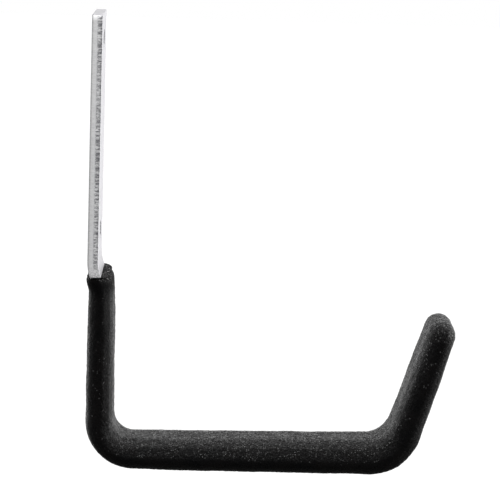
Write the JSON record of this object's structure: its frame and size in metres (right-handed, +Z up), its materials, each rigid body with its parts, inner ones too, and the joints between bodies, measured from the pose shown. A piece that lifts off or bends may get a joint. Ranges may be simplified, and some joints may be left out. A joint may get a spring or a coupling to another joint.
{
  "type": "garage utility hook",
  "caption": "Wall-mounted garage utility hook: a flat steel strip bent to a deep J, with a bare screw plate above and a thick soft black coat over the cradle and upturned arm.",
  "frame": {"origin": "midway between the two screw holes, on the back face of the strip's wall plate", "axes": "+X away from the wall, the way the hook opens and a screw comes out; +Z up along the wall plate; +Y across the strip's width"},
  "size_m": [0.1405, 0.0348, 0.1732],
  "materials": {
    "plated_steel": "dull zinc plating, with a burnished and torn sheared edge",
    "black_coat": "matt black dipped soft vinyl with a fine pebbled skin"
  },
  "bodies": {
    "root": {"steel_strip": "plated_steel", "soft_coat": "black_coat"}
  },
  "joints": []
}
